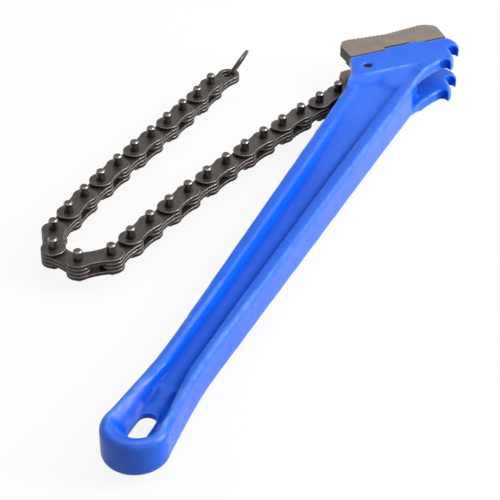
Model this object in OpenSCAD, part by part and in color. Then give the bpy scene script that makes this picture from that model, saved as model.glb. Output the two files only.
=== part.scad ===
// Chain pipe wrench: a cast handle with a forked head, two toothed jaws and a plate chain.
// The wrench lies flat. +Z is up, +Y runs along the handle towards the jaws, and +X is the
// side with the hook teeth. The origin is on the underside of the head, below its flat pad.
// All sizes are in millimetres.

/* [Chain] */
// Distance between two neighbouring chain pins
chain_pitch = 19.05; // [15:0.05:26]
// Radius of the rounded ends of a link plate
lobe_r = 7.2; // [5:0.1:9]
// Half width of a link plate at its waist
waist_half = 5.9; // [4:0.1:7]
// Radius of the hollow at the waist
waist_r = 36; // [20:1:80]
// Thickness of one link plate
plate_t = 2.37; // [1.5:0.01:4]
// Free space between two plates
plate_gap = 0.08; // [0.04:0.01:0.3]
// Diameter of a chain pin
pin_d = 5.4; // [3:0.1:8]
// How far a pin stands out above the top plate
pin_over = 6.5; // [2:0.1:10]
// How far a pin stands out below the bottom plate
pin_under = 4.0; // [2:0.1:10]
// Chamfer on the ends of the pins
pin_chamfer = 0.7; // [0.2:0.1:1.5]
// Radial clearance of a pin that stays fixed in its plates
fixed_clear = 0.02; // [0.01:0.01:0.05]
// Radial clearance of a plate that turns on its pin
turn_clear = 0.08; // [0.05:0.01:0.1]
// Height of the middle of the chain above the underside of the head
chain_z = 13.4; // [12.4:0.1:15.2]

/* [Chain lay] */
// Direction of the anchor link, degrees from +X
anchor_heading = -124.3; // [-160:0.1:-100]
// Direction of the first link after the anchor link
run_heading = -108.4; // [-130:0.1:-90]
// Slow turn of the straight run, degrees per link
run_drift = 0.95; // [-2:0.05:2]
// Number of links in the first run
run_links = 12; // [6:1:16]
// Turns of the links that make the bend
bend_turns = [-40.6, -56, -47.6, -26.1]; // [-70:0.1:0]
// First turn of the run that comes back
back_turn = -2.7; // [-6:0.1:6]
// How that turn fades, degrees per link
back_fade = 0.54; // [0:0.01:1]
// Turn of the end link
end_turn = -8; // [-30:0.5:30]

/* [Chain ends] */
// Pin distance of the anchor link
anchor_pitch = 23.4; // [19:0.1:30]
// Pin distance of the end link
end_pitch = 20.4; // [17:0.1:26]
// Radius of the ring hole in the end link
ring_hole_r = 4.4; // [3.6:0.1:5]
// Radius of the ring, to the middle of its wire
ring_r = 11.3; // [8:0.1:16]
// Diameter of the ring wire
ring_wire_d = 2.2; // [1.2:0.1:3]
// Slope at which the ring stands up from the chain
ring_rise = 22; // [0:1:30]
// Sideways lean of the ring
ring_lean = 32; // [-34:1:34]

/* [Handle] */
// Distance from the origin to the end of the grip
handle_len = 408; // [300:0.1:700]
// Thickness over the rims of the grip
grip_t = 20; // [12:0.1:24]
// Thickness over the rims at the neck
neck_t = 22; // [14:0.1:26]
// Half width of the handle at the neck
neck_half = 19.9; // [14:0.1:26]
// Half width at the slimmest point of the grip
slim_half = 12; // [9:0.1:18]
// Distance of the slimmest point from the end of the grip
slim_from_end = 64; // [40:1:100]
// Radius of the rounded end of the grip
end_r = 17.3; // [11:0.1:22]
// Where the neck begins, measured back from the origin
neck_from = 46; // [35:1:60]
// Width of the rounded rims
rim_w = 6.8; // [4:0.1:9]
// Thickness of the web between the rims
web_t = 7.2; // [4:0.1:12]
// Length of the hang slot
slot_len = 20.5; // [12:0.5:40]
// Width of the hang slot
slot_w = 9.5; // [6:0.5:12]
// Distance from the middle of the slot to the end of the grip
slot_from_end = 24.7; // [16:0.1:40]
// Thickness of the filled end around the hang slot
lobe_t = 13.6; // [9:0.1:16]
// Radius of the dished hollow that leads to the hang slot
dish_r = 9.2; // [7:0.1:12]

/* [Head] */
// Thickness over both cheeks
head_t = 30.5; // [26:0.1:38]
// Thickness of one cheek
cheek_t = 7.4; // [5:0.1:9]
// Slant of the jaws against the handle, degrees
jaw_angle = 46.5; // [35:0.5:60]
// Length of the edge that carries a jaw
seat_len = 71; // [50:0.5:90]
// X of the chain-side corner of that edge
seat_x = -28.2; // [-40:0.1:-20]
// Y of the chain-side corner of that edge
seat_y = -12.9; // [-20:0.1:0]
// How far the casting reaches past the jaw on the chain side
seat_over = 1.6; // [0:0.1:3]
// Width of the flat pad behind that edge
pad_w = 25.3; // [15:0.1:30]
// Steepness of the slope from the pad down to the web
slope_angle = 35; // [20:1:50]
// X of a point on the edge of the pad that carries the lower hooks
hook_pad_x = 14; // [8:0.1:20]
// Y of that point
hook_pad_y = 0; // [-6:0.1:6]
// Direction of that edge, degrees
hook_pad_turn = -60; // [-75:1:-45]
// Steepness of the slope from that edge down to the web
hook_pad_slope = 45; // [30:1:55]
// Start of the key along that edge
key_from = 26; // [10:0.5:40]
// Width of the key
key_w = 19; // [8:0.5:30]
// Height of the key
key_h = 2.4; // [1:0.1:4]
// Free space around the key and under the jaw
key_clear = 0.08; // [0.05:0.01:0.3]
// Free height over the key
key_room = 0.5; // [0.1:0.1:1.5]
// Free length beside the key, on the hook side
key_slack = 1.2; // [0.1:0.1:2]
// Distance from the jaw edge to the bottom of the fork
fork_depth = 25.3; // [25:0.1:27]
// Radius of the web end between the fork and the pocket on the hook side
web_nose_r = 3; // [2:0.1:4]
// X of the inner wall of that pocket
hook_pocket_x = 17.4; // [16:0.1:19]
// Radius of the hollow flank on the chain side
chain_flank_r = 60; // [45:1:120]
// Radius of the hollow flank on the hook side
hook_flank_r = 90; // [60:1:140]
// Where the hook-side flank begins to curve, measured back from the origin
hook_flank_from = 32; // [25:1:40]
// Radius of the rounded nose beside the jaw
nose_r = 16; // [12:0.5:20]
// Y at which the pocket on the hook side runs out
hook_pocket_y = -32; // [-45:1:-20]
// Y at which the pocket on the chain side runs out
chain_pocket_y = -66; // [-75:1:-55]
// Radius of a hook seat
hook_r = 3.0; // [2.8:0.05:4]
// X of the hook seat nearer the jaw
hook_x = 30.0; // [26:0.1:34]
// Y of the hook seat nearer the jaw
hook_y = 25.4; // [20:0.1:30]
// Distance from one hook seat to the next, along the handle
hook_step = 20; // [17:0.1:24]
// Sideways shift from one hook seat to the next
hook_shift = 1.3; // [0:0.1:4]
// How far a tooth tip reaches past its seat
hook_lip = 1.8; // [0.5:0.1:2.4]
// How far the lower tooth reaches out beside the middle of its seat
hook_reach = 4.7; // [4:0.1:6]
// Diameter of the anchor pin
anchor_d = 6; // [4:0.1:8]
// How far the anchor pin is sunk into the cheeks
anchor_sunk = 1.2; // [0.4:0.1:3]
// Position of the anchor pin along the jaw edge
anchor_along = 5.0; // [4:0.1:12]
// Distance of the anchor pin from the jaw edge
anchor_below = 14.5; // [10:0.1:18]

/* [Jaws] */
// Height of a jaw at its two crests
jaw_h = 22.2; // [16:0.1:30]
// Height of a jaw in the middle of the V
valley_h = 19.6; // [12:0.1:26]
// Distance of the chain-side crest from the end of the jaw
crest_in = 10; // [5:0.5:20]
// Height at which the corners of a jaw begin
corner_h = 16; // [8:0.5:20]
// Distance between two teeth
tooth_pitch = 2.6; // [1.5:0.1:5]
// Depth of a tooth
tooth_depth = 0.9; // [0.3:0.1:2]
// Thickness of the tongue that goes down into the fork
tongue_t = 2.6; // [1.5:0.1:3]
// Width of the tongue
tongue_w = 12; // [9:0.5:20]

/* [Hidden] */
$fn = 64;
eps = 0.01;
// Step where one stretch of rim slips into the next, and flat left on the sides of a rim
rim_step = 0.1;
rim_flat = 0.08;
mid_z = head_t / 2;
gap_t = head_t - 2 * cheek_t;
rim_r = rim_w / 2;
pin_r = pin_d / 2;
anchor_r = anchor_d / 2;
end_y = -handle_len;
lobe_y = end_y + end_r;
slim_y = end_y + slim_from_end;
neck_y = -neck_from;
inner_top = plate_gap / 2 + plate_t;
outer_low = inner_top + plate_gap;
outer_top = outer_low + plate_t;
pin_top = outer_top + pin_over;
pin_len = pin_top + outer_top + pin_under;
link_total = 25;
anchor_at = [
    seat_x + anchor_along * cos(jaw_angle) + anchor_below * sin(jaw_angle),
    seat_y + anchor_along * sin(jaw_angle) - anchor_below * cos(jaw_angle)
];
seat_dir = [cos(jaw_angle), sin(jaw_angle)];
seat_out = [-sin(jaw_angle), cos(jaw_angle)];
seat_start = [seat_x, seat_y] - seat_over * seat_dir;
seat_end = [seat_x + seat_len * cos(jaw_angle), seat_y + seat_len * sin(jaw_angle)];
hook_flank_y = -hook_flank_from;
web_nose_x = hook_pocket_x - web_nose_r;
web_nose_at = [
    web_nose_x,
    seat_y + ((web_nose_x - seat_x) * sin(jaw_angle) - fork_depth - web_nose_r) / cos(jaw_angle)
];
slot_y = end_y + slot_from_end;
slot_half_run = (slot_len - slot_w) / 2;
// How far the rims follow the flanks, in degrees
chain_rim_turn = 15;
hook_rim_turn = 26.4;
// Longer and wider than any cut across the head
reach_out = 200;
chain_flank_at = [-neck_half - chain_flank_r, neck_y];
hook_flank_at = [rim_line(hook_flank_y) + rim_r + hook_flank_r, hook_flank_y];
hook_at = [
    [hook_x, hook_y],
    [hook_x + hook_shift, hook_y - hook_step]
];

paint = [0.24, 0.45, 0.96];
jaw_steel = [0.53, 0.48, 0.44];
plate_steel = [0.30, 0.29, 0.28];
pin_steel = [0.58, 0.53, 0.50];

// Direction of a link: a nearly straight run, the bend, then the run that comes back.
function heading(link) =
    link < run_links ? run_heading + run_drift * link
    : heading(link - 1) + turn_after_run(link - run_links);

function turn_after_run(step) =
    step < len(bend_turns) ? bend_turns[step]
    : back_turn + back_fade * (step - len(bend_turns));

function ahead(angle, distance) = distance * [cos(angle), sin(angle)];

// Place of a chain pin, counted from the anchor link.
function pin_at(index) =
    index == 0 ? anchor_at + ahead(anchor_heading, anchor_pitch)
    : pin_at(index - 1) + ahead(heading(index - 1), chain_pitch);

// Share of the way from the slimmest point to the neck.
function along_grip(y) = (y - slim_y) / (neck_y - slim_y);

// Half width of the handle to the middle of a rim, and thickness over the rims.
function rim_line(y) = slim_half - rim_r + (neck_half - slim_half) * along_grip(y);
function rim_t(y) = grip_t + (neck_t - grip_t) * along_grip(y);

// Outline of a link plate with its two holes.
module plate_outline(pitch, first_r, second_r) {
    waist_y = waist_half + waist_r;
    difference() {
        union() {
            difference() {
                translate([0, -lobe_r + 0.3])
                    square([pitch, 2 * lobe_r - 0.6]);
                for (side = [-1, 1])
                    translate([pitch / 2, side * waist_y])
                        circle(r = waist_r);
            }
            circle(r = lobe_r);
            translate([pitch, 0])
                circle(r = lobe_r);
        }
        circle(r = first_r);
        translate([pitch, 0])
            circle(r = second_r);
    }
}

module plate(low, pitch, first_r, second_r) {
    translate([0, 0, low])
        linear_extrude(plate_t)
            plate_outline(pitch, first_r, second_r);
}

// The two plates in the middle of the stack.
module middle_plates(pitch, first_r, second_r) {
    for (low = [-inner_top, plate_gap / 2])
        plate(low, pitch, first_r, second_r);
}

module on_link(link) {
    translate([pin_at(link)[0], pin_at(link)[1], chain_z])
        rotate(heading(link))
            children();
}

module chain_pin() {
    profile = [
        [0, 0],
        [pin_r - pin_chamfer, 0],
        [pin_r, pin_chamfer],
        [pin_r, pin_len - pin_chamfer],
        [pin_r - pin_chamfer, pin_len],
        [0, pin_len]
    ];
    translate([0, 0, pin_top - pin_len])
        rotate_extrude()
            polygon(profile);
}

module outer_plates(link) {
    color(plate_steel)
        on_link(link)
            for (low = [-outer_top, outer_low])
                plate(low, chain_pitch, pin_r + fixed_clear, pin_r + fixed_clear);
}

module link_pins(link) {
    color(pin_steel)
        on_link(link)
            for (along = [0, chain_pitch])
                translate([along, 0, 0])
                    chain_pin();
}

module inner_plates(link) {
    color(plate_steel)
        on_link(link)
            middle_plates(chain_pitch, pin_r + turn_clear, pin_r + turn_clear);
}

module anchor_link() {
    color(plate_steel)
        translate([anchor_at[0], anchor_at[1], chain_z])
            rotate(anchor_heading)
                middle_plates(anchor_pitch, anchor_r + turn_clear, pin_r + turn_clear);
}

module on_end_link() {
    last = pin_at(link_total);
    translate([last[0], last[1], chain_z])
        rotate(heading(link_total - 1) + end_turn)
            children();
}

module end_link() {
    color(plate_steel)
        on_end_link()
            middle_plates(end_pitch, pin_r + turn_clear, ring_hole_r);
}

module end_ring() {
    color(pin_steel)
        on_end_link()
            translate([end_pitch, 0, 0])
                rotate([0, -ring_rise, 0])
                    rotate([90 + ring_lean, 0, 0])
                        translate([ring_r, 0, 0])
                            rotate_extrude()
                                translate([ring_r, 0])
                                    circle(d = ring_wire_d);
}

module anchor_pin() {
    color(pin_steel)
        translate([anchor_at[0], anchor_at[1], anchor_sunk])
            cylinder(r = anchor_r, h = head_t - 2 * anchor_sunk);
}

// Everything in this frame has X along the jaw edge and Y away from the head.
module at_seat() {
    translate([seat_x, seat_y, 0])
        rotate(jaw_angle)
            children();
}

// A profile drawn as Y and height, run a long way to both sides along X.
module ridge(profile) {
    translate([-reach_out, 0, 0])
        rotate([90, 0, 90])
            linear_extrude(2 * reach_out)
                polygon(profile);
}

// One straight stretch of rim with round upper and lower edges.
module rim(from, to, from_t, to_t, round_r) {
    run = to - from;
    length = norm(run);
    rise = (to_t - from_t) / 2;
    slope = atan2(rise, length);
    core_w = 2 * (round_r - rim_flat);
    side = [
        [0, -from_t / 2 + rim_r],
        [length, -to_t / 2 + rim_r],
        [length, to_t / 2 - rim_r],
        [0, from_t / 2 - rim_r]
    ];
    translate([from[0], from[1], mid_z])
        rotate(atan2(run[1], run[0])) {
            translate([0, core_w / 2, 0])
                rotate([90, 0, 0])
                    linear_extrude(core_w)
                        polygon(side);
            for (up = [-1, 1])
                translate([0, 0, up * (from_t / 2 - rim_r)])
                    rotate([0, 90 - up * slope, 0])
                        cylinder(r = round_r, h = norm([length, rise]));
        }
}

// The rounded ring at the end of the grip.
module grip_end() {
    tube_r = rim_r + 0.12;
    translate([0, lobe_y, mid_z])
        rotate_extrude()
            intersection() {
                translate([end_r - rim_r, 0]) {
                    square([2 * tube_r - 0.1, grip_t - 2 * rim_r], center = true);
                    for (up = [-1, 1])
                        translate([0, up * (grip_t / 2 - rim_r)])
                            circle(r = tube_r);
                }
                translate([0, -grip_t])
                    square([2 * end_r, 2 * grip_t]);
            }
}

// A rim that follows one of the hollow flanks of the head.
module flank_rim(middle, flank_r, thick, from, turn) {
    half_core = thick / 2 - rim_r;
    round_r = rim_r - rim_step;
    translate([middle[0], middle[1], mid_z])
        rotate(from)
            rotate_extrude(angle = turn, $fn = 128)
                translate([flank_r + rim_r, 0]) {
                    square([2 * (round_r - rim_flat), 2 * half_core], center = true);
                    for (up = [-1, 1])
                        translate([0, up * half_core])
                            circle(r = round_r, $fn = 64);
                }
}

module grip() {
    lobe_line = end_r - rim_r;
    for (side = [-1, 1]) {
        top_y = side < 0 ? neck_y : hook_flank_y;
        rim([side * (lobe_line - 0.05), lobe_y + 1.5],
            [side * rim_line(slim_y), slim_y + 1.2], grip_t, grip_t, rim_r - rim_step);
        rim([side * rim_line(slim_y), slim_y],
            [side * rim_line(top_y), top_y], grip_t, rim_t(top_y), rim_r);
    }
    flank_rim(chain_flank_at, chain_flank_r, neck_t, -0.5, chain_rim_turn);
    flank_rim(hook_flank_at, hook_flank_r, rim_t(hook_flank_y), 180.4 - hook_rim_turn, hook_rim_turn);
    grip_end();
    translate([0, 0, mid_z - lobe_t / 2])
        linear_extrude(lobe_t)
            translate([0, lobe_y])
                circle(r = lobe_line + 0.07);
    lobe_ramp(lobe_line);
    translate([0, 0, mid_z - web_t / 2])
        linear_extrude(web_t) {
            translate([0, lobe_y])
                circle(r = lobe_line);
            polygon([
                [-lobe_line, lobe_y],
                [lobe_line, lobe_y],
                [rim_line(slim_y), slim_y],
                [rim_line(hook_flank_y), hook_flank_y],
                [rim_line(hook_flank_y), hook_flank_y + rim_r],
                [-rim_line(neck_y), hook_flank_y + rim_r],
                [-rim_line(neck_y), neck_y],
                [-rim_line(slim_y), slim_y]
            ]);
        }
}

// A gentle rise from the web to the filled end.
module lobe_ramp(lobe_line) {
    high = lobe_t / 2 + eps;
    low = web_t / 2 - rim_step;
    high_y = lobe_y + end_r / 2;
    intersection() {
        translate([0, 0, mid_z - lobe_t / 2])
            linear_extrude(lobe_t)
                polygon([
                    [-lobe_line, lobe_y],
                    [lobe_line, lobe_y],
                    [rim_line(slim_y), slim_y - rim_w],
                    [-rim_line(slim_y), slim_y - rim_w]
                ]);
        translate([0, 0, mid_z])
            ridge([
                [lobe_y - 1, -high],
                [high_y, -high],
                [slim_y - rim_w + 1, -low],
                [slim_y - rim_w + 1, low],
                [high_y, high],
                [lobe_y - 1, high]
            ]);
    }
}

// Outline of the head seen from above, with the teeth and without the jaws.
module head_outline() {
    tooth_y = hook_at[1][1] + hook_r - hook_lip;
    tip_y = hook_at[0][1] + hook_r - hook_lip;
    tooth_x = hook_at[1][0] + hook_reach;
    tooth_back = hook_x - hook_reach;
    low_y = neck_y - pad_w;
    difference() {
        union() {
            difference() {
                polygon([
                    [-rim_line(neck_y), low_y],
                    [-rim_line(neck_y), neck_y],
                    [seat_start[0], neck_y],
                    seat_start,
                    seat_end,
                    [tooth_back, tip_y + hook_r],
                    [tooth_back, tooth_y],
                    [tooth_x, tooth_y],
                    [tooth_x, hook_flank_y],
                    [rim_line(neck_y), hook_flank_y],
                    [rim_line(neck_y), low_y]
                ]);
                translate(chain_flank_at)
                    circle(r = chain_flank_r + 0.2, $fn = 128);
                translate(hook_flank_at)
                    circle(r = hook_flank_r + 0.2, $fn = 128);
            }
            polygon([
                [0, tooth_y],
                [tooth_x - hook_r / 3, tooth_y],
                [tooth_x, tooth_y + hook_r],
                [tooth_x - hook_reach / 2, tooth_y + 2.7 * hook_r],
                hook_at[0] - hook_r * [0.73, 0.47],
                hook_at[0],
                [hook_x, tip_y + hook_lip / 2],
                [0, tip_y + hook_lip / 2]
            ]);
            intersection() {
                translate([seat_end[0] - 2.1, seat_end[1] - nose_r + 0.2])
                    circle(r = nose_r);
                translate([0, tip_y])
                    square([60, 30]);
                at_seat()
                    translate([0, -60])
                        square([seat_len + 40, 60]);
            }
            at_seat()
                translate([key_from, -1])
                    square([key_w, key_h + 1]);
        }
        for (seat = hook_at)
            translate(seat)
                circle(r = hook_r);
    }
}

// Full height from one edge on, and a slope down to the middle before it, on both faces.
module pad_wedge(edge, steepness, past) {
    half_t = head_t / 2;
    translate([0, 0, mid_z])
        ridge([
            [edge - half_t / tan(steepness), 0],
            [edge, -half_t - past],
            [reach_out, -half_t - past],
            [reach_out, half_t + past],
            [edge, half_t + past]
        ]);
}

// Full-height head block, sloped down into the web behind the jaws and beside the hooks.
module head_block() {
    intersection() {
        linear_extrude(head_t)
            head_outline();
        union() {
            at_seat()
                pad_wedge(-pad_w, slope_angle, eps);
            translate([hook_pad_x, hook_pad_y])
                rotate(hook_pad_turn)
                    pad_wedge(0, hook_pad_slope, 2 * eps);
        }
    }
}

// The gap between the cheeks, with a pocket on the hook side and one for the chain.
module fork_gap() {
    translate([0, 0, cheek_t])
        linear_extrude(gap_t) {
            at_seat()
                translate([-reach_out / 2, -fork_depth])
                    square([reach_out, reach_out / 2]);
            hook_pocket();
            web_nose_corner();
            chain_pocket();
        }
}

// Room for the chain beside the web on the hook side, running out at the edge of the rim.
module hook_pocket() {
    polygon([
        [hook_pocket_x, web_nose_at[1] + reach_out / 10],
        [hook_pocket_x, web_nose_at[1]],
        [neck_half - rim_r, hook_pocket_y + 14],
        [neck_half + rim_r / 2, hook_pocket_y],
        [3 * neck_half, hook_pocket_y],
        [3 * neck_half, reach_out / 3]
    ]);
}

// What the rounded end of the web leaves free between the fork and that pocket.
module web_nose_corner() {
    difference() {
        polygon([
            web_nose_at,
            web_nose_at + web_nose_r * seat_out,
            [hook_pocket_x, web_nose_at[1] + reach_out / 10],
            [hook_pocket_x, web_nose_at[1]]
        ]);
        translate(web_nose_at)
            circle(r = web_nose_r + 0.05);
    }
}

// Room for the first links, cut into the rim on the chain side.
module chain_pocket() {
    mirror([1, 0])
        polygon([
            [neck_half - rim_w, chain_pocket_y + 28],
            [neck_half - rim_r, chain_pocket_y + 14],
            [neck_half + rim_r / 2, chain_pocket_y],
            [3 * neck_half, chain_pocket_y],
            [3 * neck_half, chain_pocket_y + 32]
        ]);
}

module hang_slot() {
    translate([0, slot_y, -1])
        linear_extrude(head_t + 2) {
            square([slot_w, 2 * slot_half_run], center = true);
            for (along = [-slot_half_run, slot_half_run])
                translate([0, along])
                    circle(d = slot_w);
        }
}

// The hollow on both faces that slopes down to the edge of the slot.
module slot_dish() {
    half_run = slot_half_run - 0.4;
    for (up = [-1, 1])
        translate([0, slot_y, mid_z + up * (dish_r + 0.2)])
            rotate([90, 0, 0])
                rotate_extrude()
                    intersection() {
                        union() {
                            translate([0, -half_run])
                                square([dish_r, 2 * half_run]);
                            for (along = [-half_run, half_run])
                                translate([0, along])
                                    circle(r = dish_r - 0.03);
                        }
                        translate([0, -2 * dish_r])
                            square([2 * dish_r, 4 * dish_r]);
                    }
}

module handle() {
    color(paint)
        difference() {
            union() {
                grip();
                head_block();
            }
            fork_gap();
            hang_slot();
            slot_dish();
            translate([anchor_at[0], anchor_at[1], -1])
                cylinder(r = anchor_r + fixed_clear, h = head_t + 2);
        }
}

// Working edge of a jaw: two rows of teeth that slope into the V.
function tooth_row(from, to) =
    let (count = floor(norm(to - from) / tooth_pitch), step = (to - from) / count)
    [
        for (i = [0 : count - 1])
            each [from + step * i, from + step * (i + 0.5) - [0, tooth_depth]]
    ];

module jaw_outline() {
    far_end = seat_len + 1.6;
    left_crest = [crest_in, jaw_h];
    valley = [seat_len / 2, valley_h];
    right_crest = [seat_len - crest_in, jaw_h];
    difference() {
        polygon(concat(
            [[0, key_clear], [0, corner_h], [3.6, jaw_h - 1]],
            tooth_row(left_crest, valley),
            tooth_row(valley, right_crest),
            [
                right_crest,
                [seat_len - 4, jaw_h - 1.4],
                [seat_len, jaw_h - 4],
                [far_end, corner_h - 1],
                [seat_len, key_clear]
            ]
        ));
        translate([key_from - key_clear, -1])
            square([key_w + key_clear + key_slack, key_h + 1 + key_room]);
    }
}

// Upper jaw, with its tongue on the inner side of the cheek.
module jaw() {
    tongue_low = head_t - cheek_t - tongue_t;
    tongue_bottom = anchor_below + 6.5;
    difference() {
        union() {
            at_seat()
                translate([0, 0, head_t - cheek_t])
                    linear_extrude(cheek_t)
                        jaw_outline();
            at_seat()
                translate([1, key_clear, tongue_low])
                    cube([tongue_w, 9, tongue_t + 2]);
            at_seat()
                translate([1, -tongue_bottom, tongue_low])
                    cube([tongue_w, tongue_bottom + 4, tongue_t - key_clear]);
        }
        translate([anchor_at[0], anchor_at[1], -1])
            cylinder(r = anchor_r + fixed_clear, h = head_t + 2);
    }
}

module upper_jaw() {
    color(jaw_steel)
        jaw();
}

module lower_jaw() {
    color(jaw_steel)
        translate([0, 0, mid_z])
            mirror([0, 0, 1])
                translate([0, 0, -mid_z])
                    jaw();
}

handle();
upper_jaw();
lower_jaw();
anchor_pin();
anchor_link();
end_link();
end_ring();
outer_plates(0);  // outer_plates_01
outer_plates(2);  // outer_plates_02
outer_plates(4);  // outer_plates_03
outer_plates(6);  // outer_plates_04
outer_plates(8);  // outer_plates_05
outer_plates(10);  // outer_plates_06
outer_plates(12);  // outer_plates_07
outer_plates(14);  // outer_plates_08
outer_plates(16);  // outer_plates_09
outer_plates(18);  // outer_plates_10
outer_plates(20);  // outer_plates_11
outer_plates(22);  // outer_plates_12
outer_plates(24);  // outer_plates_13
link_pins(0);  // link_pins_01
link_pins(2);  // link_pins_02
link_pins(4);  // link_pins_03
link_pins(6);  // link_pins_04
link_pins(8);  // link_pins_05
link_pins(10);  // link_pins_06
link_pins(12);  // link_pins_07
link_pins(14);  // link_pins_08
link_pins(16);  // link_pins_09
link_pins(18);  // link_pins_10
link_pins(20);  // link_pins_11
link_pins(22);  // link_pins_12
link_pins(24);  // link_pins_13
inner_plates(1);  // inner_plates_01
inner_plates(3);  // inner_plates_02
inner_plates(5);  // inner_plates_03
inner_plates(7);  // inner_plates_04
inner_plates(9);  // inner_plates_05
inner_plates(11);  // inner_plates_06
inner_plates(13);  // inner_plates_07
inner_plates(15);  // inner_plates_08
inner_plates(17);  // inner_plates_09
inner_plates(19);  // inner_plates_10
inner_plates(21);  // inner_plates_11
inner_plates(23);  // inner_plates_12
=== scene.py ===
"""Looks of the chain pipe wrench: a painted casting, steel jaws, a plate chain and its ring."""

import logging
import math
from dataclasses import dataclass
from enum import Enum
from typing import Iterable, Optional, Sequence, Union

import bpy
import numpy as np
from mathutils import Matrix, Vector


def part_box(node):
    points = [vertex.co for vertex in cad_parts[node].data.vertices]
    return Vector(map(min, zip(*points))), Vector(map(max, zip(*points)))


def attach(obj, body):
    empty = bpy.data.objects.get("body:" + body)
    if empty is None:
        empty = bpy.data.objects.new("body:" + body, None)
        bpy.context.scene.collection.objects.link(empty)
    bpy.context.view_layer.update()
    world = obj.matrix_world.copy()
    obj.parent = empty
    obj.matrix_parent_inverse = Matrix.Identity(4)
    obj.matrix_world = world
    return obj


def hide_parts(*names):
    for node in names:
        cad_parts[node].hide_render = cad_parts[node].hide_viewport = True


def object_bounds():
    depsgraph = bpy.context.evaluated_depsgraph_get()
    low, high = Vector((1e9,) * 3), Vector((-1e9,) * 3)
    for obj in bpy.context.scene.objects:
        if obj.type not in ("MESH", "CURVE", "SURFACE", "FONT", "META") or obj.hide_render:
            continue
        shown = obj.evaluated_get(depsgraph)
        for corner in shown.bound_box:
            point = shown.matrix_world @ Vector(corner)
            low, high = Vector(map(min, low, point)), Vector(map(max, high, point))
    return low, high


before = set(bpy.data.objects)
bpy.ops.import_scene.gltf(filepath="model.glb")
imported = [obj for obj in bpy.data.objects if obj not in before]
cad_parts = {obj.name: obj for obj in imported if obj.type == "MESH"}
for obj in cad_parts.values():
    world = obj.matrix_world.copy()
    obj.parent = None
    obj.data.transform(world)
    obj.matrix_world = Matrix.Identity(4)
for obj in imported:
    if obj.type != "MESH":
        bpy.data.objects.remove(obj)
cad_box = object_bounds()

log = logging.getLogger("chain_wrench")

MM = 0.001
WELD = 0.002 * MM

Colour = tuple[float, float, float, float]
Triple = tuple[float, float, float]
Pair = tuple[float, float]
Table = tuple[Pair, ...]
Fed = Union[float, Colour, Triple, bpy.types.NodeSocket]


def srgb(red: int, green: int, blue: int) -> Colour:
    """Turns a screen colour into the linear colour that a shader takes.

    Args:
        red: Red, 0 to 255.
        green: Green, 0 to 255.
        blue: Blue, 0 to 255.

    Returns:
        The linear colour with full alpha.
    """
    def linear(level: int) -> float:
        """Makes one channel linear.

        Args:
            level: The channel, 0 to 255.

        Returns:
            The linear channel, 0 to 1.
        """
        share = level / 255
        return share / 12.92 if share <= 0.04045 else ((share + 0.055) / 1.055) ** 2.4

    return (linear(red), linear(green), linear(blue), 1.0)


class Grain(Enum):
    """How the fine marks of a steel surface run: stretch of the texture along X, Y and Z."""

    EVEN = (1.0, 1.0, 1.0)
    ALONG_JAW = (1.0, 1.0, 0.12)
    UPRIGHT = (1.0, 0.10, 1.0)
    TURNED = (1.0, 1.0, 6.0)


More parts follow.
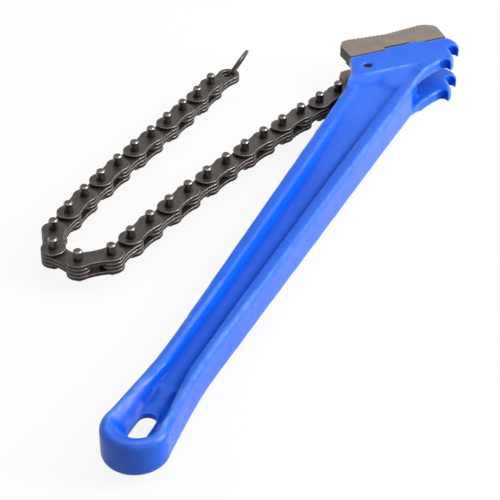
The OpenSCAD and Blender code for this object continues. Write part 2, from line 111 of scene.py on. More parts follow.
class Graph:
    """The node tree of one material, with short calls for the nodes that the finishes share."""

    def __init__(self, name: str) -> None:
        """Makes the material with its shader and its object coordinates.

        Args:
            name: Name of the material.
        """
        self.material = bpy.data.materials.new(name)
        self.material.use_nodes = True
        self.tree = self.material.node_tree
        self.shader = self.tree.nodes["Principled BSDF"]
        self.place = self.add("ShaderNodeTexCoord").outputs["Object"]

    def add(self, kind: str) -> bpy.types.ShaderNode:
        """Adds a node.

        Args:
            kind: Type name of the node.

        Returns:
            The new node.
        """
        return self.tree.nodes.new(kind)

    def feed(self, socket: bpy.types.NodeSocket, value: Fed) -> None:
        """Links a socket to another one, or sets it to a constant.

        Args:
            socket: The input to fill.
            value: A constant, or the output that feeds it.
        """
        if isinstance(value, bpy.types.NodeSocket):
            self.tree.links.new(value, socket)
        else:
            socket.default_value = value

    def set(self, **values: Fed) -> None:
        """Fills inputs of the shader.

        Args:
            values: Values by the names of the inputs, with underscores for spaces.
        """
        for name, value in values.items():
            self.feed(self.shader.inputs[name.replace("_", " ")], value)

    def noise(self, scale: float, detail: float = 3.0, roughness: float = 0.55,
              stretch: Triple = (1.0, 1.0, 1.0)) -> bpy.types.NodeSocket:
        """Makes a noise in object space.

        Args:
            scale: Waves per metre.
            detail: Number of finer layers.
            roughness: Strength of the finer layers.
            stretch: Factor on the coordinates along X, Y and Z.

        Returns:
            The noise value, about 0 to 1.
        """
        mapping = self.add("ShaderNodeMapping")
        self.feed(mapping.inputs["Vector"], self.place)
        mapping.inputs["Scale"].default_value = stretch
        node = self.add("ShaderNodeTexNoise")
        self.feed(node.inputs["Vector"], mapping.outputs["Vector"])
        node.inputs["Scale"].default_value = scale
        node.inputs["Detail"].default_value = detail
        node.inputs["Roughness"].default_value = roughness
        return node.outputs["Fac"]

    def spread(self, value: Fed, low: float, high: float, to_low: float = 0.0,
               to_high: float = 1.0) -> bpy.types.NodeSocket:
        """Maps a range of a value to another range and clamps it.

        Args:
            value: The value to map.
            low: Input that becomes to_low.
            high: Input that becomes to_high.
            to_low: Result at low.
            to_high: Result at high.

        Returns:
            The mapped value.
        """
        node = self.add("ShaderNodeMapRange")
        self.feed(node.inputs["Value"], value)
        node.inputs["From Min"].default_value = low
        node.inputs["From Max"].default_value = high
        node.inputs["To Min"].default_value = to_low
        node.inputs["To Max"].default_value = to_high
        return node.outputs["Result"]

    def math(self, how: str, first: Fed, second: Fed) -> bpy.types.NodeSocket:
        """Joins two values with a Math node.

        Args:
            how: Operation of the node, such as MULTIPLY.
            first: First value.
            second: Second value.

        Returns:
            The joined value.
        """
        node = self.add("ShaderNodeMath")
        node.operation = how
        self.feed(node.inputs[0], first)
        self.feed(node.inputs[1], second)
        return node.outputs["Value"]

    def mix(self, share: Fed, first: Fed, second: Fed) -> bpy.types.NodeSocket:
        """Mixes two colours.

        Args:
            share: Share of the second colour.
            first: Colour at share 0.
            second: Colour at share 1.

        Returns:
            The mixed colour.
        """
        node = self.add("ShaderNodeMix")
        node.data_type = "RGBA"
        self.feed(node.inputs["Factor"], share)
        colours = [socket for socket in node.inputs if socket.type == "RGBA"]
        self.feed(colours[0], first)
        self.feed(colours[1], second)
        return next(socket for socket in node.outputs if socket.type == "RGBA")

    def level(self) -> bpy.types.NodeSocket:
        """Tells how level the surface lies.

        Returns:
            A value from 0 on upright sides to 1 on upper and lower faces.
        """
        split = self.add("ShaderNodeSeparateXYZ")
        self.feed(split.inputs["Vector"], self.add("ShaderNodeNewGeometry").outputs["Normal"])
        return self.math("ABSOLUTE", split.outputs["Z"], 0.0)

    def broken_edge(self, level: bpy.types.NodeSocket) -> bpy.types.NodeSocket:
        """Finds the narrow rounding between level faces and upright sides.

        Args:
            level: How level the surface lies.

        Returns:
            The mask, 0 to 1.
        """
        return self.math("MINIMUM", self.spread(level, 0.15, 0.4), self.spread(level, 0.985, 0.9))

    def attribute(self, name: str) -> bpy.types.NodeSocket:
        """Reads a point attribute of the mesh.

        Args:
            name: Name of the attribute.

        Returns:
            Its value.
        """
        node = self.add("ShaderNodeAttribute")
        node.attribute_name = name
        return node.outputs["Fac"]

    def bump(self, height: Fed, distance: float, strength: float,
             under: Optional[bpy.types.NodeSocket] = None) -> bpy.types.NodeSocket:
        """Adds a relief on top of another one.

        Args:
            height: Height, 0 to 1.
            distance: Size of a full height, in metres.
            strength: Strength of the relief.
            under: Normal of the relief below, if any.

        Returns:
            The new normal.
        """
        node = self.add("ShaderNodeBump")
        self.feed(node.inputs["Height"], height)
        node.inputs["Distance"].default_value = distance
        node.inputs["Strength"].default_value = strength
        if under is not None:
            self.feed(node.inputs["Normal"], under)
        return node.outputs["Normal"]


@dataclass(frozen=True)
class PaintFinish:
    """Glossy paint on a casting: a paler blue on convex edges, partly wear and partly painted
    highlight; painted shade in the hollows; a few scuffs.
    """

    name: str = "blue_paint"
    colour: Colour = srgb(5, 101, 233)
    cloud: Colour = srgb(4, 93, 224)
    # painted shade: the darker blue that the hollow mask mixes into creases and recesses
    hollow: Colour = srgb(6, 56, 190)
    # paler blue on convex edges: partly wear, partly painted highlight
    wear_and_highlight: Colour = srgb(124, 172, 255)
    scuff: Colour = srgb(60, 120, 240)
    gloss: float = 0.25
    shine: float = 0.4
    painted_shade_shine: float = 0.12
    painted_shade_share: float = 0.5
    wear_and_highlight_share: float = 0.6
    scuff_share: float = 0.12

    def material(self) -> bpy.types.Material:
        """Builds the paint.

        Returns:
            The material, which reads the point attributes edge, for wear and painted highlight,
            and hollow, for painted shade.
        """
        graph = Graph(self.name)
        clouds = graph.noise(22, 4)
        speckle = graph.noise(900, 3)
        edge = graph.attribute("edge")
        hollow = graph.attribute("hollow")
        colour = graph.mix(graph.spread(clouds, 0.35, 0.7), self.colour, self.cloud)
        # Painted shade: hollows and creases take the darker blue.
        colour = graph.mix(graph.math("MULTIPLY", hollow, self.painted_shade_share), colour, self.hollow)
        ragged = graph.math("MULTIPLY", edge, graph.spread(graph.noise(160, 5), 0.2, 0.6))
        # Convex edges and the pad line take the paler blue: partly wear, partly painted
        # highlight.
        colour = graph.mix(graph.math("MULTIPLY", ragged, self.wear_and_highlight_share), colour, self.wear_and_highlight)
        scuffs = graph.spread(graph.noise(240, 6, 0.7, (1.0, 0.3, 1.0)), 0.6, 0.75)
        colour = graph.mix(graph.math("MULTIPLY", scuffs, self.scuff_share), colour, self.scuff)
        rough = graph.spread(graph.noise(70, 4), 0.3, 0.75, self.gloss - 0.05, self.gloss + 0.1)
        relief = graph.bump(graph.noise(95, 2), 0.35 * MM, 0.35)
        relief = graph.bump(speckle, 0.05 * MM, 0.45, relief)
        # Less shine in the same mask: painted shade on the reflections too.
        shine = graph.spread(hollow, 0.0, 0.8, self.shine, self.painted_shade_shine)
        graph.set(Base_Color=colour, Roughness=rough, Normal=relief, Specular_IOR_Level=shine)
        return graph.material


@dataclass(frozen=True)
class SteelFinish:
    """Bare steel with grain and stains, painted shade on upright sides, and bright edges of wear
    and painted highlight.
    """

    name: str
    colour: Colour
    stain: Colour
    # painted shade: the darker colour of upright sides and end faces
    side: Colour
    bright: Colour
    grain: Grain
    rough: float
    metal: float = 0.7
    edge_wear_and_highlight_share: float = 0.6
    grain_scale: float = 1500

    def material(self) -> bpy.types.Material:
        """Builds the steel.

        Returns:
            The material.
        """
        graph = Graph(self.name)
        grain = graph.noise(self.grain_scale, 3, 0.6, self.grain.value)
        stains = graph.noise(120, 5, 0.6)
        colour = graph.mix(graph.spread(stains, 0.38, 0.68), self.colour, self.stain)
        streak = graph.math("MULTIPLY", graph.spread(grain, 0.45, 0.75), 0.2)
        colour = graph.mix(streak, colour, self.bright)
        level = graph.level()
        # Painted shade: upright sides take the darker side colour.
        colour = graph.mix(graph.spread(level, 0.1, 0.7), self.side, colour)
        # Bright edges: partly wear, partly painted highlight on the rounded edges.
        edge_wear_and_highlight = graph.math("MULTIPLY", graph.broken_edge(level),
                          graph.spread(graph.noise(300, 4), 0.25, 0.55, 0.3, 1.0))
        colour = graph.mix(graph.math("MULTIPLY", edge_wear_and_highlight, self.edge_wear_and_highlight_share), colour, self.bright)
        rough = graph.spread(stains, 0.3, 0.7, self.rough - 0.08, self.rough + 0.1)
        relief = graph.bump(grain, 0.02 * MM, 0.5)
        relief = graph.bump(graph.noise(260, 4), 0.06 * MM, 0.35, relief)
        graph.set(Base_Color=colour, Roughness=rough, Normal=relief, Metallic=self.metal)
        return graph.material


@dataclass(frozen=True)
class PinFinish:
    """Turned pin steel: brown sides with draw marks, paler ends, bright chamfers that are a
    painted highlight with some wear.
    """

    name: str = "pin_steel"
    side: Colour = srgb(66, 54, 49)
    soot: Colour = srgb(46, 38, 35)
    end: Colour = srgb(118, 108, 102)
    # painted highlight colour of the chamfers
    bright: Colour = srgb(196, 184, 174)
    rough: float = 0.28
    metal: float = 0.7
    coat: float = 0.4
    coat_rough: float = 0.12

    def material(self) -> bpy.types.Material:
        """Builds the pin steel; ends and chamfers are told by how level they lie.

        Returns:
            The material.
        """
        graph = Graph(self.name)
        grain = graph.noise(700, 3, 0.6, Grain.TURNED.value)
        stains = graph.noise(240, 4)
        level = graph.level()
        colour = graph.mix(graph.spread(stains, 0.4, 0.7), self.side, self.soot)
        ends = graph.mix(graph.spread(stains, 0.35, 0.75), self.end, self.side)
        colour = graph.mix(graph.spread(level, 0.1, 0.7), colour, ends)
        # Chamfers: painted highlight, with some wear.
        edge_wear_and_highlight = graph.math("MULTIPLY", graph.broken_edge(level),
                          graph.spread(stains, 0.7, 0.35, 0.35, 0.9))
        colour = graph.mix(edge_wear_and_highlight, colour, self.bright)
        rough = graph.spread(grain, 0.3, 0.7, self.rough - 0.06, self.rough + 0.08)
        relief = graph.bump(grain, 0.02 * MM, 0.5)
        graph.set(Base_Color=colour, Roughness=rough, Normal=relief, Metallic=self.metal,
                  Coat_Weight=self.coat, Coat_Roughness=self.coat_rough)
        return graph.material


PAINT = PaintFinish()
# Side colours are painted shade; bright colours serve grain marks and edges of wear and painted
# highlight.
PLATE_STEEL = SteelFinish("plate_steel", srgb(92, 91, 88), srgb(78, 76, 73), srgb(45, 37, 34),
                          srgb(178, 165, 155), Grain.UPRIGHT, 0.36, edge_wear_and_highlight_share=0.65)
JAW_STEEL = SteelFinish("jaw_steel", srgb(142, 129, 119), srgb(128, 115, 106), srgb(76, 66, 62),
                        srgb(176, 164, 154), Grain.ALONG_JAW, 0.5, metal=0.4, edge_wear_and_highlight_share=0.5)
WIRE_STEEL = SteelFinish("wire_steel", srgb(80, 74, 70), srgb(54, 49, 47), srgb(60, 53, 50),
                         srgb(150, 142, 136), Grain.EVEN, 0.28, edge_wear_and_highlight_share=0.2)
# Painted shade: the anchor pin sits deep in its hole, so its brown steel is made near black.
HOLE_SHADE_STEEL = SteelFinish("pin_steel_in_painted_shade", srgb(44, 38, 35), srgb(30, 26, 24), srgb(34, 29, 27),
                         srgb(80, 74, 70), Grain.EVEN, 0.5, edge_wear_and_highlight_share=0.1)
PIN_STEEL = PinFinish()


def dress(piece: bpy.types.Object, material: bpy.types.Material) -> None:
    """Gives a piece one material in all its slots.

    Args:
        piece: The piece.
        material: Its finish.
    """
    if not piece.material_slots:
        piece.data.materials.append(material)
    for slot in piece.material_slots:
        slot.material = material


def break_edges(piece: bpy.types.Object, width: float, segments: int = 2,
                angle: float = 32.0) -> None:
    """Rounds the sharp edges of a node with modifiers, so that they catch the light.

    Args:
        piece: The node.
        width: Width of the rounding, in metres.
        segments: Steps of the rounding.
        angle: Least angle of an edge that is rounded, in degrees.
    """
    weld = piece.modifiers.new("join_faces", "WELD")
    weld.merge_threshold = WELD
    bevel = piece.modifiers.new("broken_edges", "BEVEL")
    bevel.width = width
    bevel.segments = segments
    bevel.limit_method = "ANGLE"
    bevel.angle_limit = math.radians(angle)
    bevel.use_clamp_overlap = True
    bevel.harden_normals = True


class Net:
    """The points of a mesh with their neighbours, for moving and smoothing them."""

    def __init__(self, mesh: bpy.types.Mesh) -> None:
        """Reads the points and edges.

        Args:
            mesh: The mesh.
        """
        self.mesh = mesh
        self.count = len(mesh.vertices)
        self.points = np.empty(self.count * 3)
        mesh.vertices.foreach_get("co", self.points)
        self.points = self.points.reshape(-1, 3)
        pairs = np.empty(len(mesh.edges) * 2, dtype=np.int64)
        mesh.edges.foreach_get("vertices", pairs)
        self.pairs = pairs.reshape(-1, 2)
        self.degree = np.bincount(pairs, minlength=self.count).astype(float)

    def average(self, values: np.ndarray) -> np.ndarray:
        """Averages a value over the neighbours.

        Args:
            values: One value for each point.

        Returns:
            The mean of the neighbours' values for each point.
        """
        one, other = self.pairs[:, 0], self.pairs[:, 1]
        sums = np.bincount(one, values[other], self.count)
        sums += np.bincount(other, values[one], self.count)
        return sums / self.degree

    def pull(self) -> np.ndarray:
        """Finds where smoothing pulls the points.

        Returns:
            The way from each point to the middle of its neighbours.
        """
        middle = [self.average(self.points[:, axis]) for axis in range(3)]
        return np.stack(middle, axis=1) - self.points

    def write(self) -> None:
        """Puts the points back into the mesh."""
        self.mesh.vertices.foreach_set("co", self.points.ravel())
        self.mesh.update()

    def normals(self) -> np.ndarray:
        """Finds the normals of the mesh with its points where they are now.

        Returns:
            One unit vector for each point.
        """
        self.write()
        found = np.empty(self.count * 3)
        self.mesh.vertices.foreach_get("normal", found)
        return found.reshape(-1, 3)


def ease(share: np.ndarray) -> np.ndarray:
    """Softens both ends of a straight run from 0 to 1.

    Args:
        share: Shares; they are clamped to 0 and 1.

    Returns:
        The eased shares.
    """
    share = np.clip(share, 0, 1)
    return share * share * (3 - 2 * share)


def look_up(places: np.ndarray, table: Table) -> np.ndarray:
    """Reads a table of places and values, with straight runs between them.

    Args:
        places: Where to read it.
        table: Pairs of a place and its value, in order.

    Returns:
        One value for each place.
    """
    return np.interp(places, *zip(*table))


@dataclass(frozen=True)
class NeckSide:
    """One side of the neck, in millimetres, where the straight grip turns into a flank."""

    run_end: float
    flank_r: float
    flank_from: float
    rise: float


@dataclass(frozen=True)
class CastForm:
    """The blended form of the casting, in millimetres; heights count from its middle plane.

    Its flat rims, the web that rises to the head and the slope down from the pad are functions
    of the place x across and y along the handle.
    """

    form_from: float = -386.0
    blend_run: float = 24.0
    waist_y: float = -344.0
    waist_half: float = 12.0
    waist_run: float = 24.0
    waist_gain: float = 0.08
    neck_run: float = 298.0
    neck_gain: float = 7.9
    end_gain: float = 38.0
    chain_side: NeckSide = NeckSide(1.0, 60.0, -46.0, 1.2)
    hook_side: NeckSide = NeckSide(1.047, 90.0, -32.0, 0.6)
    rim_top: float = 10.0
    rim_edge_r: Table = ((-386, 3.2), (-350, 1.8), (-320, 1.5))
    rim_width: Table = ((-380, 3.6), (-350, 4.6), (-280, 6.4), (-150, 8.0))
    rim_rise: Pair = (-74, -34)
    wall_slope: float = 2.1
    web_top: float = 3.6
    web_gain: float = 6.6
    web_rise: Pair = (-165, -40)
    tilt_gain: float = 0.9
    tilt_rise: Pair = (-90, -34)
    tilt_half: float = 14.0
    tilt_least: float = -0.3
    pad_top: float = 15.25
    pad_corner: Pair = (13.5, -5.65)
    pad_slopes: Pair = (1.0455, -0.9)
    crease: Table = ((-16, -34.5), (-2.4, -30.5), (13.7, -32))
    slope_fall: float = 4.2
    slope_end: float = 1.1
    slope_least_run: float = 0.5
    least_inset: float = 0.3

    def inset(self, x: np.ndarray, y: np.ndarray) -> np.ndarray:
        """Finds how far places lie inside the outline of the handle.

        Args:
            x: Places across the handle.
            y: Places along the handle.

        Returns:
            The distance from the side of the handle.
        """
        chain, hook = self.chain_side, self.hook_side
        run = (y - self.waist_y) / self.neck_run
        gain = np.where(run < 0, -self.end_gain, self.neck_gain)
        run_end = np.where(x < 0, chain.run_end, hook.run_end)
        half = self.waist_half + gain * np.minimum(run, run_end)
        flank = np.where(x < 0, chain.flank_r, hook.flank_r)
        past = np.clip(y - np.where(x < 0, chain.flank_from, hook.flank_from), 0, flank - 1)
        return half + flank - np.sqrt(flank ** 2 - past ** 2) - np.abs(x)

    def height(self, x: np.ndarray, y: np.ndarray) -> np.ndarray:
        """Finds the height of the form.

        Args:
            x: Places across the handle.
            y: Places along the handle.

        Returns:
            The height at each place, 0 where the form says nothing.
        """
        def step(ends: Pair) -> np.ndarray:
            """Rises softly from 0 to 1 along the handle.

            Args:
                ends: Where the rise starts and ends.

            Returns:
                The eased share at each place.
            """
            return ease((y - ends[0]) / (ends[1] - ends[0]))

        inset = self.inset(x, y)
        edge_r = look_up(y, self.rim_edge_r)
        short = np.clip(edge_r - inset, 0, edge_r)
        rounding = edge_r - np.sqrt(edge_r ** 2 - short ** 2)
        rise = np.where(x < 0, self.chain_side.rise, self.hook_side.rise) * step(self.rim_rise)
        top = self.rim_top + np.maximum((y - self.waist_y) / self.neck_run, 0) + rise
        rim = top - self.wall_slope * np.clip(inset - look_up(y, self.rim_width), 0, None)
        tilt = self.tilt_gain * np.clip(-x / self.tilt_half, self.tilt_least, 1)
        web = self.web_top + self.web_gain * step(self.web_rise) + tilt * step(self.tilt_rise)
        level = np.maximum(np.maximum(rim, web), self.slope(x, y)) - rounding
        inside = (inset > self.least_inset) & (y > self.form_from) & (y < self.pad_corner[1])
        return np.where(inside, level, 0)

    def slope(self, x: np.ndarray, y: np.ndarray) -> np.ndarray:
        """Finds the height of the slope from the edge of the pad down to the crease.

        Args:
            x: Places across the handle.
            y: Places along the handle.

        Returns:
            The height at each place, 0 beside the slope.
        """
        from_corner = x - self.pad_corner[0]
        pad_edge = self.pad_corner[1] + from_corner * np.where(from_corner < 0, *self.pad_slopes)
        run = np.maximum(pad_edge - look_up(x, self.crease), self.slope_least_run)
        fall = (pad_edge - y) / run
        on_slope = (fall > 0) & (fall < self.slope_end)
        return np.where(on_slope, self.pad_top - self.slope_fall * fall, 0)


@dataclass(frozen=True)
class Channel:
    """The channel between the rims at the grip end, in millimetres, down into the hang slot."""

    ends: Pair = (-392.0, -338.0)
    half: Table = ((-390.7, 13.9), (-344.0, 8.6))
    floor: Table = ((-374.0, 1.5), (-346.0, 3.6))
    flat_share: float = 0.42
    rim_top: float = 10.2
    fade_from: float = -364.0
    fade_run: float = 26.0
    fade_gain: float = 9.0

    def most(self, x: np.ndarray, y: np.ndarray) -> np.ndarray:
        """Finds the most height that the channel leaves over the middle plane.

        Args:
            x: Places across the handle.
            y: Places along the handle.

        Returns:
            The height at each place, endless outside the channel.
        """
        floor = look_up(y, self.floor)
        across = np.abs(x) / look_up(y, self.half)
        wall = ease((across - self.flat_share) / (1 - self.flat_share))
        fade = self.fade_gain * np.clip((y - self.fade_from) / self.fade_run, 0, 1) ** 2
        inside = (y > self.ends[0]) & (y < self.ends[1])
        return np.where(inside, floor + (self.rim_top - floor) * wall + fade, np.inf)


@dataclass
class Casting:
    """The handle with its forked head, blended and softened as a casting is.

    Sizes are in millimetres, apart from the voxel.
    """

    form: CastForm = CastForm()
    channel: Channel = Channel()
    voxel: float = 0.75 * MM
    edge_steps: int = 4
    fillet_steps: int = 11
    fresh_normals: int = 10
    dish_steps: int = 40
    look_steps: int = 14
    web_walls: Pair = (17.0, -18.0)
    wall_inward: float = 0.4
    wall_least: float = -0.2
    face_least: float = 0.3
    pin_clear: float = 3.5
    pin_blend: float = 3.0
    pin_share: float = 0.25
    hooks_from: Pair = (21.0, -4.0)
    hook_blend: float = 4.0
    hook_share: float = 0.08
    hook_seats: Table = ((30.0, 25.4), (31.3, 5.4))
    hook_r: float = 3.0
    seat_edge: float = 1.1
    seat_blend: float = 0.8
    # Painted shade added to the concave mask in the hook seats.
    seat_shade_gain: float = 0.06
    slot: Triple = (-383.3, 5.5, 4.75)
    dish_from: Pair = (0.8, 1.5)
    dish_to: Pair = (7.5, 2.0)
    dish_along: Pair = (26.0, 6.0)
    # Painted highlight along the edge of the flat pad: its line, half width and fade at the ends.
    pad_highlight_line: tuple[Pair, Pair] = ((-13.0, -33.4), (13.5, -5.65))
    pad_highlight_half: float = 0.9
    pad_highlight_fade: float = 6.0
    edge_gain: float = 34.0
    edge_least: float = 1.05
    painted_shade_gain: float = 30.0

    @property
    def middle(self) -> float:
        """Height of the middle plane of the casting, in metres."""
        low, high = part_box("handle")
        return (low.z + high.z) / 2

    def build(self) -> bpy.types.Object:
        """Makes the softened casting, in place of the handle node.

        Returns:
            The new piece.
        """
        filled = self.fine_mesh(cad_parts["handle"].data)
        self.fill(filled)
        mesh = self.fine_mesh(filled)
        bpy.data.meshes.remove(filled)
        mesh.name = "cast_handle"
        self.soften(mesh)
        piece = bpy.data.objects.new("cast_handle", mesh)
        bpy.context.scene.collection.objects.link(piece)
        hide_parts("handle")
        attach(piece, "wrench")
        return piece

    def fine_mesh(self, source: bpy.types.Mesh) -> bpy.types.Mesh:
        """Copies a mesh as an even, fine mesh without folds.

        Args:
            source: The mesh to copy.

        Returns:
            The mesh, with faces of about one voxel.
        """
        rough = bpy.data.objects.new("rough_casting", source.copy())
        bpy.context.scene.collection.objects.link(rough)
        weld = rough.modifiers.new("join_faces", "WELD")
        weld.merge_threshold = WELD
        remesh = rough.modifiers.new("even_faces", "REMESH")
        remesh.mode = "VOXEL"
        remesh.voxel_size = self.voxel
        bpy.context.view_layer.update()
        graph = bpy.context.evaluated_depsgraph_get()
        mesh = bpy.data.meshes.new_from_object(rough.evaluated_get(graph))
        copied = rough.data
        bpy.data.objects.remove(rough)
        bpy.data.meshes.remove(copied)
        return mesh

    def fill(self, mesh: bpy.types.Mesh) -> None:
        """Raises both faces to the blended form and softens the waist.

        Only faces that look up or down rise, and the walls of the web with them; the inside of
        the fork and the outer sides stay.

        Args:
            mesh: The fine mesh, changed in place.
        """
        net, form = Net(mesh), self.form
        normals = net.normals()
        x, y = net.points[:, 0] / MM, net.points[:, 1] / MM
        up = np.sign(net.points[:, 2] - self.middle)
        level = np.abs(net.points[:, 2] - self.middle) / MM
        inward = normals[:, 0] * np.sign(x) < self.wall_inward
        wall = inward & (np.abs(x) < self.web_walls[0]) & (y < self.web_walls[1])
        outward = normals[:, 2] * up > np.where(wall, self.wall_least, self.face_least)
        lift = np.clip(form.height(x, y) - level, 0, None)
        lift *= ease((y - form.form_from) / form.blend_run)
        level = np.where(outward, level + lift, level)
        net.points[:, 2] = self.middle + up * level * MM
        waist = np.clip(1 - np.abs(y - form.waist_y) / form.waist_run, 0, 1)
        net.points[:, 0] *= 1 + form.waist_gain * waist * waist
        net.write()

    def soften(self, mesh: bpy.types.Mesh) -> None:
        """Fills inner corners with fillets, rounds outer edges and opens the channel.

        Args:
            mesh: The fine mesh, changed in place.
        """
        net = Net(mesh)
        points = net.points
        for_edges, for_fillets = self.soft_shares(points)
        for step in range(self.fillet_steps):
            if step % self.fresh_normals == 0:
                normals = net.normals()
            hollow = np.einsum("ij,ij->i", net.pull(), normals)
            points += 0.5 * (np.clip(hollow, 0, None) * for_fillets)[:, None] * normals
        for _ in range(self.edge_steps):
            points += 0.5 * for_edges[:, None] * net.pull()
        most = self.channel.most(points[:, 0] / MM, points[:, 1] / MM) * MM
        points[:, 2] = self.middle + np.clip(points[:, 2] - self.middle, -most, most)
        dished = self.dish_share(points)
        for _ in range(self.dish_steps):
            points += 0.5 * dished[:, None] * net.pull()
        self.store_looks(net)
        mesh.polygons.foreach_set("use_smooth", np.ones(len(mesh.polygons), dtype=bool))
        mesh.update()

    def store_looks(self, net: Net) -> None:
        """Stores as point attributes where the paint gets wear and painted highlight, and where
        it gets painted shade.

        Args:
            net: The softened points.
        """
        normals = net.normals()
        curve = np.einsum("ij,ij->i", net.pull(), normals)
        for _ in range(self.look_steps):
            curve = 0.5 * curve + 0.5 * net.average(curve)
        # The hook seats join the concave places in the mask of painted shade.
        bend = curve / self.voxel + self.seat_shade_gain * self.seat_shade(net.points)
        # Convex edges and the pad line: paler paint that is partly wear and partly painted
        # highlight.
        wear_and_highlight = np.maximum(-bend * self.edge_gain - self.edge_least,
                            self.pad_edge_highlight(net.points))
        # Attribute edge holds wear and painted highlight; attribute hollow holds painted shade.
        for name, values in (("edge", wear_and_highlight), ("hollow", bend * self.painted_shade_gain)):
            layer = net.mesh.attributes.new(name, "FLOAT", "POINT")
            layer.data.foreach_set("value", np.clip(values, 0, 1).astype(np.float32))

    def dish_share(self, points: np.ndarray) -> np.ndarray:
        """Finds the share of the last smoothing: round the hang slot, but not the slot itself.

        Args:
            points: Places of the points.

        Returns:
            A factor from 0 to 1 for each point.
        """
        slot_y, half_run, half_width = self.slot
        along = np.abs(points[:, 1] / MM - slot_y)
        past = np.clip(along - half_run, 0, None)
        off = np.hypot(points[:, 0] / MM, past) - half_width
        inner = np.clip((off - self.dish_from[0]) / self.dish_from[1], 0, 1)
        outer = np.clip((self.dish_to[0] - off) / self.dish_to[1], 0, 1)
        return inner * outer * np.clip((self.dish_along[0] - along) / self.dish_along[1], 0, 1)

    def pad_edge_highlight(self, points: np.ndarray) -> np.ndarray:
        """Finds the painted highlight line where the flat pad ends.

        Args:
            points: Places of the points.

        Returns:
            A factor from 0 to 1 for each point.
        """
        start, stop = (np.array(end) for end in self.pad_highlight_line)
        length = np.linalg.norm(stop - start)
        way = (stop - start) / length
        from_start = points[:, :2] / MM - start
        along = from_start @ way
        off = from_start @ np.array((-way[1], way[0]))
        ends = np.clip(along / self.pad_highlight_fade, 0, 1)
        ends = ends * np.clip((length - along) / self.pad_highlight_fade, 0, 1)
        return np.exp(-(off / self.pad_highlight_half) ** 2) * ends

    def seat_shade(self, points: np.ndarray) -> np.ndarray:
        """Finds the hook seats, which get painted shade: darker, duller paint.

        Args:
            points: Places of the points.

        Returns:
            A factor from 0 to 1 for each point.
        """
        shade = np.zeros(len(points))
        for x, y in self.hook_seats:
            off = np.hypot(points[:, 0] / MM - x, points[:, 1] / MM - y)
            near = (self.hook_r + self.seat_edge - off) / self.seat_blend
            shade = np.maximum(shade, np.clip(near, 0, 1))
        return shade

    def soft_shares(self, points: np.ndarray) -> tuple[np.ndarray, np.ndarray]:
        """Finds the share of softening: little round the anchor pin and in the hooks.

        Args:
            points: Places of the points.

        Returns:
            Two factors from 0 to 1 for each point: for the edges and for the fillets.
        """
        pin_low, pin_high = (np.array(edge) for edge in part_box("anchor_pin"))
        pin = (pin_low + pin_high)[:2] / 2
        from_pin = np.linalg.norm(points[:, :2] - pin, axis=1) / MM
        edges = np.clip((from_pin - self.pin_clear) / self.pin_blend, self.pin_share, 1)
        into_hooks = (points[:, :2] / MM - np.array(self.hooks_from)).min(axis=1)
        return edges, edges * np.clip(1 - into_hooks / self.hook_blend, self.hook_share, 1)


@dataclass
class Jaws:
    """The two toothed jaw plates and the anchor pin that holds them."""

    edge: float = 0.45 * MM
    pin_edge: float = 0.4 * MM

    def dress(self) -> list[str]:
        """Rounds the edges and gives the jaws and their pin a finish.

        Returns:
            The names of the nodes.
        """
        steel = JAW_STEEL.material()
        for name in ("upper_jaw", "lower_jaw"):
            break_edges(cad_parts[name], self.edge)
            dress(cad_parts[name], steel)
        break_edges(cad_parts["anchor_pin"], self.pin_edge)
        # Near-black steel on the anchor pin: painted shade of its hole.
        dress(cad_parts["anchor_pin"], HOLE_SHADE_STEEL.material())
        return ["upper_jaw", "lower_jaw", "anchor_pin"]


@dataclass
class PlateChain:
    """The links of the chain, with their plates and pins, and the ring at its end."""

    plate_edge: float = 0.38 * MM
    pin_edge: float = 0.16 * MM

    def dress(self) -> list[str]:
        """Rounds the edges and gives plates, pins and ring a finish.

        Returns:
            The names of the nodes.
        """
        plate, pin, wire = PLATE_STEEL.material(), PIN_STEEL.material(), WIRE_STEEL.material()
        done = []
        for name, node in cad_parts.items():
            if name.startswith("link_pins"):
                break_edges(node, self.pin_edge)
                dress(node, pin)
            elif "plates" in name or name in ("anchor_link", "end_link"):
                break_edges(node, self.plate_edge)
                dress(node, plate)
            elif name == "end_ring":
                dress(node, wire)
            else:
                continue
            done.append(name)
        return done


@dataclass(frozen=True)
class Lamp:
    """A soft box: where it stands, what it looks at, its size and its power."""

    name: str
    place: Triple
    size: Pair
    power: float
    aim: Triple = (-0.03, -0.17, 0.0)

    def build(self) -> None:
        """Puts the lamp up."""
        data = bpy.data.lights.new(self.name, "AREA")
        data.shape = "RECTANGLE"
        data.size, data.size_y = self.size
        data.energy = self.power
        lamp = bpy.data.objects.new(self.name, data)
        lamp.location = self.place
        way = Vector(self.aim) - Vector(self.place)
        lamp.rotation_euler = way.to_track_quat("-Z", "Y").to_euler()
        bpy.context.scene.collection.objects.link(lamp)


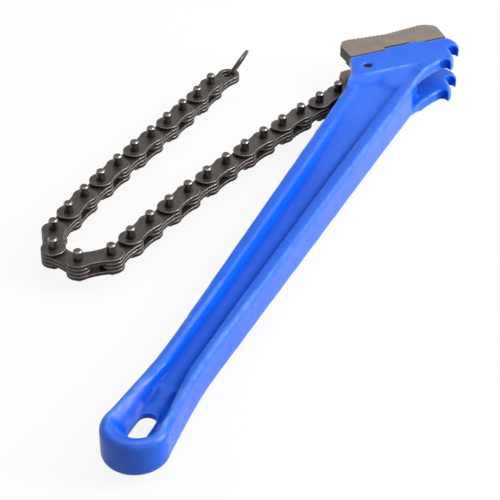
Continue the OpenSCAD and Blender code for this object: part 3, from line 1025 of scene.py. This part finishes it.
@dataclass
class Studio:
    """Floor, soft light and the camera of the photograph."""

    camera_at: Triple = (0.27836, -0.90248, 0.53568)
    camera_way: Triple = (-0.32048, 0.75180, -0.57627)
    lens: float = 115.2
    floor_half: float = 6.0
    floor_drop: float = 0.05 * MM
    floor_colour: Colour = srgb(250, 250, 250)
    bounce_colour: Colour = srgb(176, 176, 176)
    sky: float = 0.35
    shade_share: float = 0.11
    mirror_share: float = 0.7
    ceiling: Pair = (0.3, 0.75)
    sensor: float = 36.0
    clip: Pair = (0.05, 50.0)
    lamps: Sequence[Lamp] = (
        Lamp("side_box", (0.85, 0.05, 0.38), (0.45, 1.1), 12.0, (0.0, -0.1, 0.0)),
        Lamp("top_box", (0.15, 0.35, 1.1), (1.4, 1.4), 7.5, (0.0, -0.1, 0.0)),
    )

    def build(self) -> None:
        """Builds the floor, the world, the lamps and the camera."""
        scene = bpy.context.scene
        scene.view_settings.view_transform = "Standard"
        self.floor()
        self.world()
        for lamp in self.lamps:
            lamp.build()
        data = bpy.data.cameras.new("camera")
        data.lens, data.sensor_width = self.lens, self.sensor
        data.clip_start, data.clip_end = self.clip
        camera = bpy.data.objects.new("camera", data)
        camera.location = self.camera_at
        camera.rotation_euler = Vector(self.camera_way).to_track_quat("-Z", "Y").to_euler()
        scene.collection.objects.link(camera)
        scene.camera = camera

    def seen(self, tree: bpy.types.NodeTree) -> bpy.types.NodeSocket:
        """Makes a mask of what the camera sees, straight or in a mirror.

        Args:
            tree: The node tree that gets the mask.

        Returns:
            The mask, 0 or 1.
        """
        path = tree.nodes.new("ShaderNodeLightPath")
        mask = path.outputs["Is Camera Ray"]
        for ray in ("Is Glossy Ray", "Is Transmission Ray"):
            node = tree.nodes.new("ShaderNodeMath")
            node.operation = "MAXIMUM"
            tree.links.new(mask, node.inputs[0])
            tree.links.new(path.outputs[ray], node.inputs[1])
            mask = node.outputs["Value"]
        return mask

    def floor(self) -> None:
        """Lays the white floor, which keeps a pale shadow of the wrench."""
        half, level = self.floor_half, cad_box[0].z - self.floor_drop
        mesh = bpy.data.meshes.new("floor")
        corners = [(-half, -half, level), (half, -half, level), (half, half, level),
                   (-half, half, level)]
        mesh.from_pydata(corners, [], [(0, 1, 2, 3)])
        floor = bpy.data.objects.new("floor", mesh)
        bpy.context.scene.collection.objects.link(floor)
        material = bpy.data.materials.new("floor")
        material.use_nodes = True
        tree = material.node_tree
        bounce = tree.nodes["Principled BSDF"]
        bounce.inputs["Base Color"].default_value = self.bounce_colour
        bounce.inputs["Roughness"].default_value = 0.9
        shade = tree.nodes.new("ShaderNodeBsdfDiffuse")
        shade.inputs["Color"].default_value = self.floor_colour
        white = tree.nodes.new("ShaderNodeEmission")
        paper = tree.nodes.new("ShaderNodeMixShader")
        share = tree.nodes.new("ShaderNodeMapRange")
        share.inputs["To Min"].default_value = self.mirror_share
        share.inputs["To Max"].default_value = self.shade_share
        tree.links.new(tree.nodes.new("ShaderNodeLightPath").outputs["Is Camera Ray"],
                       share.inputs["Value"])
        tree.links.new(share.outputs["Result"], paper.inputs[0])
        tree.links.new(white.outputs["Emission"], paper.inputs[1])
        tree.links.new(shade.outputs["BSDF"], paper.inputs[2])
        blend = tree.nodes.new("ShaderNodeMixShader")
        tree.links.new(self.seen(tree), blend.inputs[0])
        tree.links.new(bounce.outputs["BSDF"], blend.inputs[1])
        tree.links.new(paper.outputs["Shader"], blend.inputs[2])
        tree.links.new(blend.outputs["Shader"], tree.nodes["Material Output"].inputs["Surface"])
        mesh.materials.append(material)

    def world(self) -> None:
        """Makes the sky: soft light on the wrench, and a white backdrop under a dim ceiling."""
        world = bpy.data.worlds.new("studio")
        world.use_nodes = True
        tree = world.node_tree
        sky = tree.nodes["Background"]
        sky.inputs["Strength"].default_value = self.sky
        sky.inputs["Color"].default_value = (1.0, 1.0, 1.0, 1.0)
        white = tree.nodes.new("ShaderNodeBackground")
        white.inputs["Color"].default_value = (1.0, 1.0, 1.0, 1.0)
        tree.links.new(self.backdrop(tree), white.inputs["Strength"])
        blend = tree.nodes.new("ShaderNodeMixShader")
        tree.links.new(self.seen(tree), blend.inputs[0])
        tree.links.new(sky.outputs["Background"], blend.inputs[1])
        tree.links.new(white.outputs["Background"], blend.inputs[2])
        tree.links.new(blend.outputs["Shader"], tree.nodes["World Output"].inputs["Surface"])
        bpy.context.scene.world = world

    def backdrop(self, tree: bpy.types.NodeTree) -> bpy.types.NodeSocket:
        """Makes the brightness of the room: white low down, dim above, dimmer on the left.

        Args:
            tree: The node tree of the world.

        Returns:
            The brightness, up to 1.
        """
        split = tree.nodes.new("ShaderNodeSeparateXYZ")
        tree.links.new(tree.nodes.new("ShaderNodeTexCoord").outputs["Generated"],
                       split.inputs["Vector"])
        above = tree.nodes.new("ShaderNodeMapRange")
        above.inputs["From Min"].default_value = -0.8
        above.inputs["From Max"].default_value = 0.8
        above.inputs["To Min"].default_value, above.inputs["To Max"].default_value = self.ceiling
        tree.links.new(split.outputs["X"], above.inputs["Value"])
        rise = tree.nodes.new("ShaderNodeMapRange")
        rise.interpolation_type = "SMOOTHSTEP"
        rise.inputs["From Min"].default_value = 0.1
        rise.inputs["From Max"].default_value = 0.5
        rise.inputs["To Min"].default_value = 1.0
        tree.links.new(split.outputs["Z"], rise.inputs["Value"])
        tree.links.new(above.outputs["Result"], rise.inputs["To Max"])
        return rise.outputs["Result"]


def report(names: Iterable[str]) -> None:
    """Logs the pieces of one sub-assembly.

    Args:
        names: Names of its pieces.
    """
    for name in names:
        log.info("dressed %s", name)


def main() -> None:
    """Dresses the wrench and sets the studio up."""
    logging.basicConfig(level=logging.INFO, format="%(name)s: %(message)s")
    casting = Casting().build()
    dress(casting, PAINT.material())
    report([casting.name])
    report(Jaws().dress())
    report(PlateChain().dress())
    Studio().build()
    bpy.context.view_layer.update()


if __name__ == "__main__":
    main()
